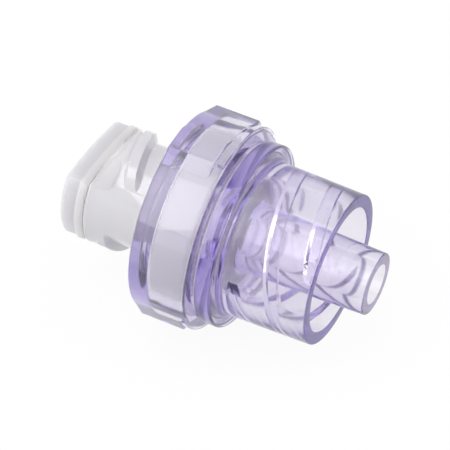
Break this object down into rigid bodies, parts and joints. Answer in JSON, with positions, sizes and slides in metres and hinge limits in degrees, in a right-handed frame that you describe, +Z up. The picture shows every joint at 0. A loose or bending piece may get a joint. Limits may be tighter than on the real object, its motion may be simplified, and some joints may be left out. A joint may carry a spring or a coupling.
{
  "type": "needle free connector",
  "caption": "Clear needle free connector with a slit silicone valve, a female luer lock inlet, a wide drum with grip ribs, and a male luer inside a threaded lock collar.",
  "frame": {"origin": "on the surface that the connector lies on, midway along its length and under its axis", "axes": "+X along the connector's axis towards the male luer, +Z up, away from the surface"},
  "size_m": [0.0198, 0.013, 0.0135],
  "materials": {
    "housing_clear": "clear polycarbonate with a violet tint, polished",
    "silicone": "translucent white silicone, satin",
    "base_clear": "clear polycarbonate with a violet tint, polished"
  },
  "bodies": {
    "root": {"inlet_housing": "housing_clear", "silicone_valve": "silicone", "luer_base": "base_clear"}
  },
  "joints": []
}
